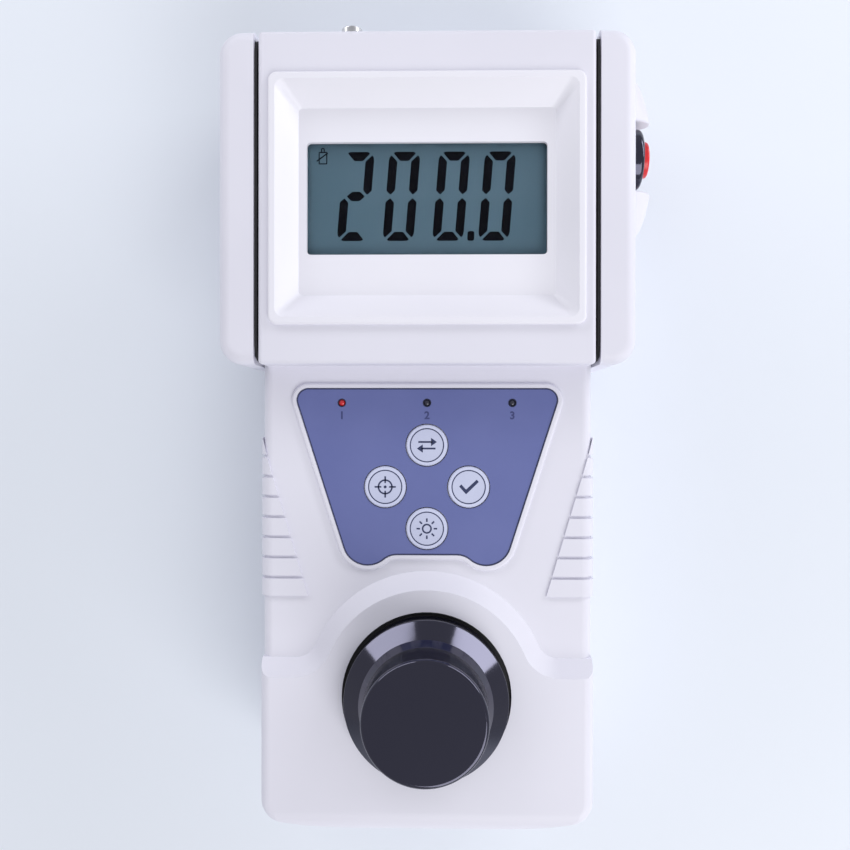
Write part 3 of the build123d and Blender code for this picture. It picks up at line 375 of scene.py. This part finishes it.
def right_cover():
    """The right cover, with the round boss of its solid taken down and two fins in its place."""
    outer = -low("side_cover_left").x / MM
    bm = bmesh.new()
    bm.from_mesh(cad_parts["side_cover_right"].data)
    bmesh.ops.remove_doubles(bm, verts=bm.verts, dist=WELD)
    for vert in bm.verts:
        rise = vert.co.x / MM - outer
        if rise < PLANE_SLACK:
            continue
        reach = math.hypot(vert.co.y / MM - BOSS_MIDDLE[0], vert.co.z / MM - BOSS_MIDDLE[1])
        on_skin = (reach > BOSS_RADIUS - BOSS_FOOT_SLACK
                   or rise > boss_height(reach) - BOSS_SKIN_SLACK)
        vert.co.x = (outer if on_skin else outer - POCKET_SKIN) * MM
    bmesh.ops.remove_doubles(bm, verts=bm.verts, dist=COLLAPSE)
    bmesh.ops.dissolve_degenerate(bm, edges=bm.edges, dist=COLLAPSE)
    for side in FIN_REACHES:
        part = bmesh.new()
        fin(part, side, outer)
        mesh = bpy.data.meshes.new("fin")
        part.to_mesh(mesh)
        part.free()
        bm.from_mesh(mesh)
        bpy.data.meshes.remove(mesh)
    piece = piece_from(bm, "right_cover_with_guard", HOUSING, "housing",
                       smooth=True)
    piece.data.set_sharp_from_angle(angle=SHARP_ANGLE)
    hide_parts("side_cover_right")


def rounded_loop(y0, y1, z0, z1, radius):
    """A rectangle with round corners, as points in turn."""
    centres = ((y1 - radius, z1 - radius), (y0 + radius, z1 - radius),
               (y0 + radius, z0 + radius), (y1 - radius, z0 + radius))
    loop = []
    for index, (y, z) in enumerate(centres):
        for step in range(GAP_SHADE_CORNER_STEPS + 1):
            turn = math.pi / 2 * (index + step / GAP_SHADE_CORNER_STEPS)
            loop.append((y + radius * math.cos(turn), z + radius * math.sin(turn)))
    return loop


def gap_shade_strip(name, side):
    """A dark strip deep in the gap between a side cover and the housing: painted shade that
    darkens the gap.
    """
    y0, z0 = low("side_cover_left").yz / MM
    y1, z1 = high("side_cover_left").yz / MM
    bm = bmesh.new()
    rims = []
    for x in GAP_SHADE_XS:
        for depth in (0.0, GAP_SHADE_DEPTH):
            inset, corner = GAP_SHADE_INSET + depth, GAP_SHADE_CORNER - depth
            loop = rounded_loop(y0 + inset, y1 - inset, z0 + inset, z1 - inset, corner)
            rims.append([bm.verts.new((side * x * MM, y * MM, z * MM)) for y, z in loop])
    for first, second in ((0, 1), (1, 3), (3, 2), (2, 0)):
        for index in range(len(rims[0])):
            after = (index + 1) % len(rims[0])
            bm.faces.new((rims[first][index], rims[first][after],
                          rims[second][after], rims[second][index]))
    # The dark rubber colour here is painted shade in the gap.
    piece_from(bm, name, RUBBER_AND_GAP_SHADE, "housing")


# Display

CELL = (8.95, 25.69)
SLANT = 0.0805
TOP_BAR = [(1.18, 25.35), (1.88, 25.69), (6.93, 25.69), (7.65, 25.26), (5.77, 23.09),
           (3.26, 23.09)]
SIDE_BAR = [(0.64, 24.71), (2.48, 22.86), (2.48, 14.66), (1.27, 13.34), (0.0, 14.49),
            (0.0, 23.24), (0.17, 24.05)]
MIDDLE_BAR = [(1.85, 12.85), (3.32, 14.20), (5.63, 14.20), (7.10, 12.85), (5.63, 11.52),
              (3.32, 11.52)]


def flipped(outline, across=False, over=False):
    width, height = CELL
    return [(width - u if across else u, height - v if over else v) for u, v in outline]


BARS = {
    "a": TOP_BAR, "f": SIDE_BAR, "g": MIDDLE_BAR,
    "b": flipped(SIDE_BAR, across=True), "c": flipped(SIDE_BAR, across=True, over=True),
    "d": flipped(TOP_BAR, over=True), "e": flipped(SIDE_BAR, over=True),
}
DIGITS = {"2": "abged", "0": "abcdef"}
READING = (("2", -26.11), ("0", -12.89), ("0", 1.45), ("0", 14.67))
READING_FOOT = -11.56
READING_THICKNESS = 0.04 * MM
POINT = [(11.6, 0.0), (13.55, 0.0), (13.66, 2.77), (11.7, 2.77)]
POINT_CORNER = 0.35
CELL_SIGN_CORNERS = [(-31.2, 10.75), (-29.0, 10.75), (-29.0, 14.05), (-31.2, 14.05)]
CELL_SIGN_LINE = 0.32
TERMINAL_XS = (-30.5, -29.75)
TERMINAL_HEIGHT = 1.1
TERMINAL_LINE = 0.3
STRIKE = (-31.9, 11.5, -28.7, 13.9)
STRIKE_LINE = 0.36


def battery_sign():
    """The sign for a low battery: the outline of a cell, struck through."""
    corners = CELL_SIGN_CORNERS
    sides = [bar(*here, *after, CELL_SIGN_LINE)
             for here, after in zip(corners, corners[1:] + corners[:1])]
    head = corners[-1][1]
    tip = head + TERMINAL_HEIGHT
    terminal = [bar(x, head, x, tip, TERMINAL_LINE) for x in TERMINAL_XS]
    terminal.append(bar(TERMINAL_XS[0], tip, TERMINAL_XS[1], tip, TERMINAL_LINE))
    return sides + terminal + [bar(*STRIKE, STRIKE_LINE)]


def reading():
    """The digits, their point and the low-battery sign, on top of the liquid crystal glass."""
    glass = middle("lcd_glass") / MM
    top = high("lcd_glass").z
    outlines = []
    for digit, left in READING:
        for name in DIGITS[digit]:
            sloped = [(u + SLANT * v, v) for u, v in softened(BARS[name])]
            outlines += placed([sloped], left, READING_FOOT)
    outlines += placed([softened(POINT, POINT_CORNER)], 0, READING_FOOT)
    outlines += battery_sign()
    printed("lcd_reading", placed(outlines, glass.x, glass.y), top, SEGMENT, "housing",
            thickness=READING_THICKNESS)


# Keypad

SWAP_SHAFT = (-2.5, 0.95, 1.6, 0.95)
SWAP_HEAD = [(1.2, 2.15), (2.9, 0.95), (1.2, -0.25)]
SWAP_STROKE = 0.5
SIGN_STROKE = 0.45
TARGET_RING = (1.75, 2.2)
TARGET_TICK = (1.15, 3.1)
TARGET_DOT = 0.42
TICK = [(-2.75, 0.15), (-2.1, 0.75), (-0.75, -0.75), (2.35, 2.15), (2.95, 1.5), (-0.75, -2.1)]
SUN_RING = (1.0, 1.45)
SUN_RAY = (2.0, 3.0)
KEY_RING = (4.68, 5.0)
KEY_RIM = (5.0, 5.66)
LED_COLLAR = 1.9
LED_DOME = 1.06
LED_LIFT = 0.02 * MM
LED_SKIRT = 0.1 * MM
LED_SEGMENTS = 48
LED_RIM = (0.03, 0.2)
NUMBER_DROP = 3.75
NUMBER_SIZE = 3.1
NUMBER_WEIGHT = 0.09
# Painted shade: the dark line where the keypad film meets its rim
EDGE_SHADE_START = 0.02
EDGE_SHADE_WIDTH = 0.3
SAME_PLACE = 0.01 * MM


def swap_sign():
    """Two arrows that point past each other."""
    outlines = []
    for side in (1, -1):
        outlines.append(bar(*(u * side for u in SWAP_SHAFT), SWAP_STROKE))
        outlines.append([(u * side, v * side) for u, v in SWAP_HEAD])
    return outlines


def target_sign():
    near, far = TARGET_TICK
    ticks = [bar(near * x, near * y, far * x, far * y, SIGN_STROKE)
             for x, y in ((1, 0), (-1, 0), (0, 1), (0, -1))]
    return ring(*TARGET_RING) + ticks + [disc(TARGET_DOT)]


def tick_sign():
    return [TICK]


def sun_sign():
    near, far = SUN_RAY
    rays = []
    for index in range(8):
        x, y = math.cos(index * math.pi / 4), math.sin(index * math.pi / 4)
        rays.append(bar(near * x, near * y, far * x, far * y, SIGN_STROKE))
    return ring(*SUN_RING) + rays


KEY_SIGNS = {"key_top": swap_sign, "key_left": target_sign,
             "key_right": tick_sign, "key_bottom": sun_sign}


def key_prints():
    for node, sign in KEY_SIGNS.items():
        place = middle(node) / MM
        top = high(node).z
        ink = placed(ring(*KEY_RING) + sign(), place.x, place.y)
        rim = placed(ring(*KEY_RIM), place.x, place.y)
        printed(node + "_print", ink, top, INK_AND_GROOVE_SHADE, node)
        # The paler ring round the key's edge is a painted highlight.
        printed(node + "_border", rim, top, KEY_EDGE_HIGHLIGHT, node)


def indicator_places():
    box_low, box_high = low("indicator_leds") / MM, high("indicator_leds") / MM
    y = (box_low.y + box_high.y) / 2
    reach = (box_high.x - box_low.x) / 2 - LED_COLLAR
    return [(-reach, y), (0.0, y), (reach, y)]


def indicators():
    """A clear-coated dome for each lamp, the first one lit, and its number printed below."""
    top = high("indicator_leds").z + LED_LIFT
    film = high("keypad_overlay").z
    for index, (x, y) in enumerate(indicator_places()):
        glow = LED_LIT if index == 0 else LED_DARK
        bm = bmesh.new()
        bmesh.ops.create_uvsphere(bm, u_segments=LED_SEGMENTS, v_segments=LED_SEGMENTS // 2,
                                  radius=LED_DOME * MM)
        lower = [v for v in bm.verts if v.co.z < -LED_SKIRT]
        bmesh.ops.delete(bm, geom=lower, context="VERTS")
        bmesh.ops.translate(bm, verts=bm.verts, vec=(x * MM, y * MM, top - LED_DOME * MM))
        piece_from(bm, f"indicator_dome_{index + 1}", glow, "housing", smooth=True)
        rim = placed(ring(*(LED_DOME + more for more in LED_RIM)), x, y)
        printed(f"indicator_rim_{index + 1}", rim, film, INK_AND_GROOVE_SHADE, "housing")
        number(f"indicator_number_{index + 1}", str(index + 1), x, y - NUMBER_DROP, film)


def number(name, text, x, y, height):
    """A plain printed number, centred below its lamp."""
    curve = bpy.data.curves.new(name, "FONT")
    curve.body = text
    curve.size = NUMBER_SIZE * MM
    curve.align_x = "CENTER"
    curve.align_y = "CENTER"
    curve.extrude = PRINT_THICKNESS / 2
    curve.offset = NUMBER_WEIGHT * MM
    curve.materials.append(NUMBER_INK)
    piece = bpy.data.objects.new(name, curve)
    piece.location = (x * MM, y * MM, height + PRINT_THICKNESS / 2)
    bpy.context.scene.collection.objects.link(piece)
    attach(piece, "housing")


def edge_loops(edges):
    """The chains that the edges make, each as its points in turn."""
    loops = []
    left = set(edges)
    for edge in edges:
        if edge not in left:
            continue
        left.discard(edge)
        loop = list(edge.verts)
        while True:
            step = next((e for e in loop[-1].link_edges if e in left), None)
            if step is None:
                break
            left.discard(step)
            loop.append(step.other_vert(loop[-1]))
        loops.append([v.co.copy() for v in loop])
    return loops


def film_outline():
    """The outer edge of the keypad film's upper face."""
    bm = bmesh.new()
    bm.from_mesh(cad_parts["keypad_overlay"].data)
    bmesh.ops.remove_doubles(bm, verts=bm.verts, dist=WELD)
    top = max(v.co.z for v in bm.verts)
    edges = [e for e in bm.edges if all(abs(v.co.z - top) < SAME_PLACE for v in e.verts)
             and len(e.link_faces) == 2 and any(abs(f.normal.z) < 0.5 for f in e.link_faces)]
    loops = edge_loops(edges)
    bm.free()
    outer = max(loops, key=lambda loop: max(p.x for p in loop) - min(p.x for p in loop))
    if (outer[0] - outer[-1]).length < SAME_PLACE:
        outer.pop()
    return outer


def overlay_edge_shade():
    """The thin dark line round the edge of the keypad film: painted shade of the groove between
    the film and its rim.
    """
    outer = film_outline()
    area = sum(a.x * b.y - b.x * a.y for a, b in zip(outer, outer[1:] + outer[:1]))
    turn = 1 if area > 0 else -1
    band = bmesh.new()
    rims = []
    for before, here, after in zip(outer[-1:] + outer[:-1], outer, outer[1:] + outer[:1]):
        run = (after - here).normalized() + (here - before).normalized()
        inward = Vector((-run.y, run.x, 0)).normalized() * turn
        rims.append([band.verts.new(here + inward * d * MM + Vector((0, 0, PRINT_THICKNESS)))
                     for d in (EDGE_SHADE_START, EDGE_SHADE_WIDTH)])
    for first, second in zip(rims, rims[1:] + rims[:1]):
        band.faces.new((first[0], second[0], second[1], first[1]))
    faces = bmesh.ops.extrude_face_region(band, geom=band.faces[:])
    tops = [v for v in faces["geom"] if isinstance(v, bmesh.types.BMVert)]
    bmesh.ops.translate(band, verts=tops, vec=(0, 0, -PRINT_THICKNESS))
    # The dark line here is painted shade in the groove at the film's edge.
    piece_from(band, "keypad_border", INK_AND_GROOVE_SHADE, "housing")


# Studio and camera

CAMERA_PLACE = Vector((4.6, 4.2, 315.1)) * MM
CAMERA_TILT = math.radians(-0.12)
CAMERA_PAN = math.radians(1.12)
CAMERA_ROLL = math.radians(0.06)
CAMERA_FOCAL_PIXELS = 908.0
CAMERA_REACH = (0.01, 20.0)
PHOTO_SIZE = 850
SENSOR_WIDTH = 36.0


def camera():
    data = bpy.data.cameras.new("photo_camera")
    data.sensor_width = SENSOR_WIDTH
    data.sensor_fit = "HORIZONTAL"
    data.lens = SENSOR_WIDTH * CAMERA_FOCAL_PIXELS / PHOTO_SIZE
    data.clip_start, data.clip_end = CAMERA_REACH
    seen = bpy.data.objects.new("photo_camera", data)
    bpy.context.scene.collection.objects.link(seen)
    turn = (Matrix.Rotation(CAMERA_TILT, 4, "X") @ Matrix.Rotation(CAMERA_PAN, 4, "Y")
            @ Matrix.Rotation(CAMERA_ROLL, 4, "Z"))
    seen.matrix_world = Matrix.Translation(CAMERA_PLACE) @ turn
    bpy.context.scene.camera = seen


def lamp(name, place, aim, size, power, colour):
    data = bpy.data.lights.new(name, "AREA")
    data.shape = "RECTANGLE"
    data.size, data.size_y = size
    data.energy = power
    data.color = colour
    light = bpy.data.objects.new(name, data)
    bpy.context.scene.collection.objects.link(light)
    light.location = place
    direction = Vector(aim) - Vector(place)
    light.rotation_euler = direction.to_track_quat("-Z", "Y").to_euler()
    light.visible_camera = False


FLOOR_HALF = 12.0
HAZE_START = 0.25
HAZE_END = 0.9
BACKDROP_COLOUR = (0.83, 0.87, 0.94, 1)
FLOOR_COLOUR = (0.80, 0.84, 0.90, 1)
FLOOR_ROUGHNESS = 0.6
WORLD_COLOUR = (0.93, 0.94, 1.0, 1)
WORLD_STRENGTH = 0.51
WHITE = (1, 1, 1)
COOL_WHITE = (0.96, 0.97, 1.0)
WELL_AIM = (0, -0.075, 0.06)
LAMPS = (
    ("front_box", (0.40, -0.76, 0.78), (0, 0, 0.03), (0.8, 0.8), 7.0, WHITE),
    ("right_box", (0.62, 0.43, 0.305), WELL_AIM, (0.68, 0.16), 2.5, COOL_WHITE),
    ("left_box", (-0.48, 0.565, 0.305), WELL_AIM, (0.72, 0.16), 1.9, COOL_WHITE),
)


def far_haze(tree, shader):
    """Far from the object the camera sees the backdrop's colour; near it, light and shadow."""
    links = tree.links
    place = add(tree, "ShaderNodeTexCoord")
    distance = add(tree, "ShaderNodeVectorMath", operation="LENGTH")
    links.new(place.outputs["Object"], distance.inputs[0])
    fade = add(tree, "ShaderNodeMapRange", interpolation_type="SMOOTHSTEP")
    fade.inputs["From Min"].default_value = HAZE_START
    fade.inputs["From Max"].default_value = HAZE_END
    links.new(distance.outputs["Value"], fade.inputs["Value"])
    path = add(tree, "ShaderNodeLightPath")
    seen = add(tree, "ShaderNodeMath", operation="MULTIPLY")
    links.new(fade.outputs["Result"], seen.inputs[0])
    links.new(path.outputs["Is Camera Ray"], seen.inputs[1])
    glow = add(tree, "ShaderNodeEmission")
    glow.inputs["Color"].default_value = BACKDROP_COLOUR
    mix = add(tree, "ShaderNodeMixShader")
    links.new(seen.outputs["Value"], mix.inputs["Fac"])
    links.new(shader.outputs["BSDF"], mix.inputs[1])
    links.new(glow.outputs["Emission"], mix.inputs[2])
    links.new(mix.outputs["Shader"], tree.nodes["Material Output"].inputs["Surface"])


def backdrop(world):
    """The camera sees a plain pale backdrop; the light on the object stays as it is."""
    tree = world.node_tree
    soft = tree.nodes["Background"]
    soft.inputs["Color"].default_value = WORLD_COLOUR
    soft.inputs["Strength"].default_value = WORLD_STRENGTH
    plain = add(tree, "ShaderNodeBackground")
    plain.inputs["Color"].default_value = BACKDROP_COLOUR
    path = add(tree, "ShaderNodeLightPath")
    mix = add(tree, "ShaderNodeMixShader")
    tree.links.new(path.outputs["Is Camera Ray"], mix.inputs["Fac"])
    tree.links.new(soft.outputs["Background"], mix.inputs[1])
    tree.links.new(plain.outputs["Background"], mix.inputs[2])
    tree.links.new(mix.outputs["Shader"], tree.nodes["World Output"].inputs["Surface"])


def studio():
    mesh = bpy.data.meshes.new("studio_floor")
    half = FLOOR_HALF
    corners = [(-half, -half, 0), (half, -half, 0), (half, half, 0), (-half, half, 0)]
    mesh.from_pydata(corners, [], [(0, 1, 2, 3)])
    floor = bpy.data.objects.new("studio_floor", mesh)
    bpy.context.scene.collection.objects.link(floor)
    material, tree, shader = node_material("floor_paint")
    shader.inputs["Base Color"].default_value = FLOOR_COLOUR
    shader.inputs["Roughness"].default_value = FLOOR_ROUGHNESS
    far_haze(tree, shader)
    mesh.materials.append(material)

    for row in LAMPS:
        lamp(*row)

    world = bpy.data.worlds.new("studio_world")
    bpy.context.scene.world = world
    world.use_nodes = True
    backdrop(world)
    bpy.context.scene.view_settings.view_transform = "Standard"


def main():
    camera()
    dress_nodes()
    reading()
    key_prints()
    indicators()
    # Painted shade along the keypad film's edge
    overlay_edge_shade()
    right_cover()
    # Dark strips of painted shade deep in the side covers' gaps
    gap_shade_strip("gap_shade_strip_left", -1)
    gap_shade_strip("gap_shade_strip_right", 1)
    studio()


main()
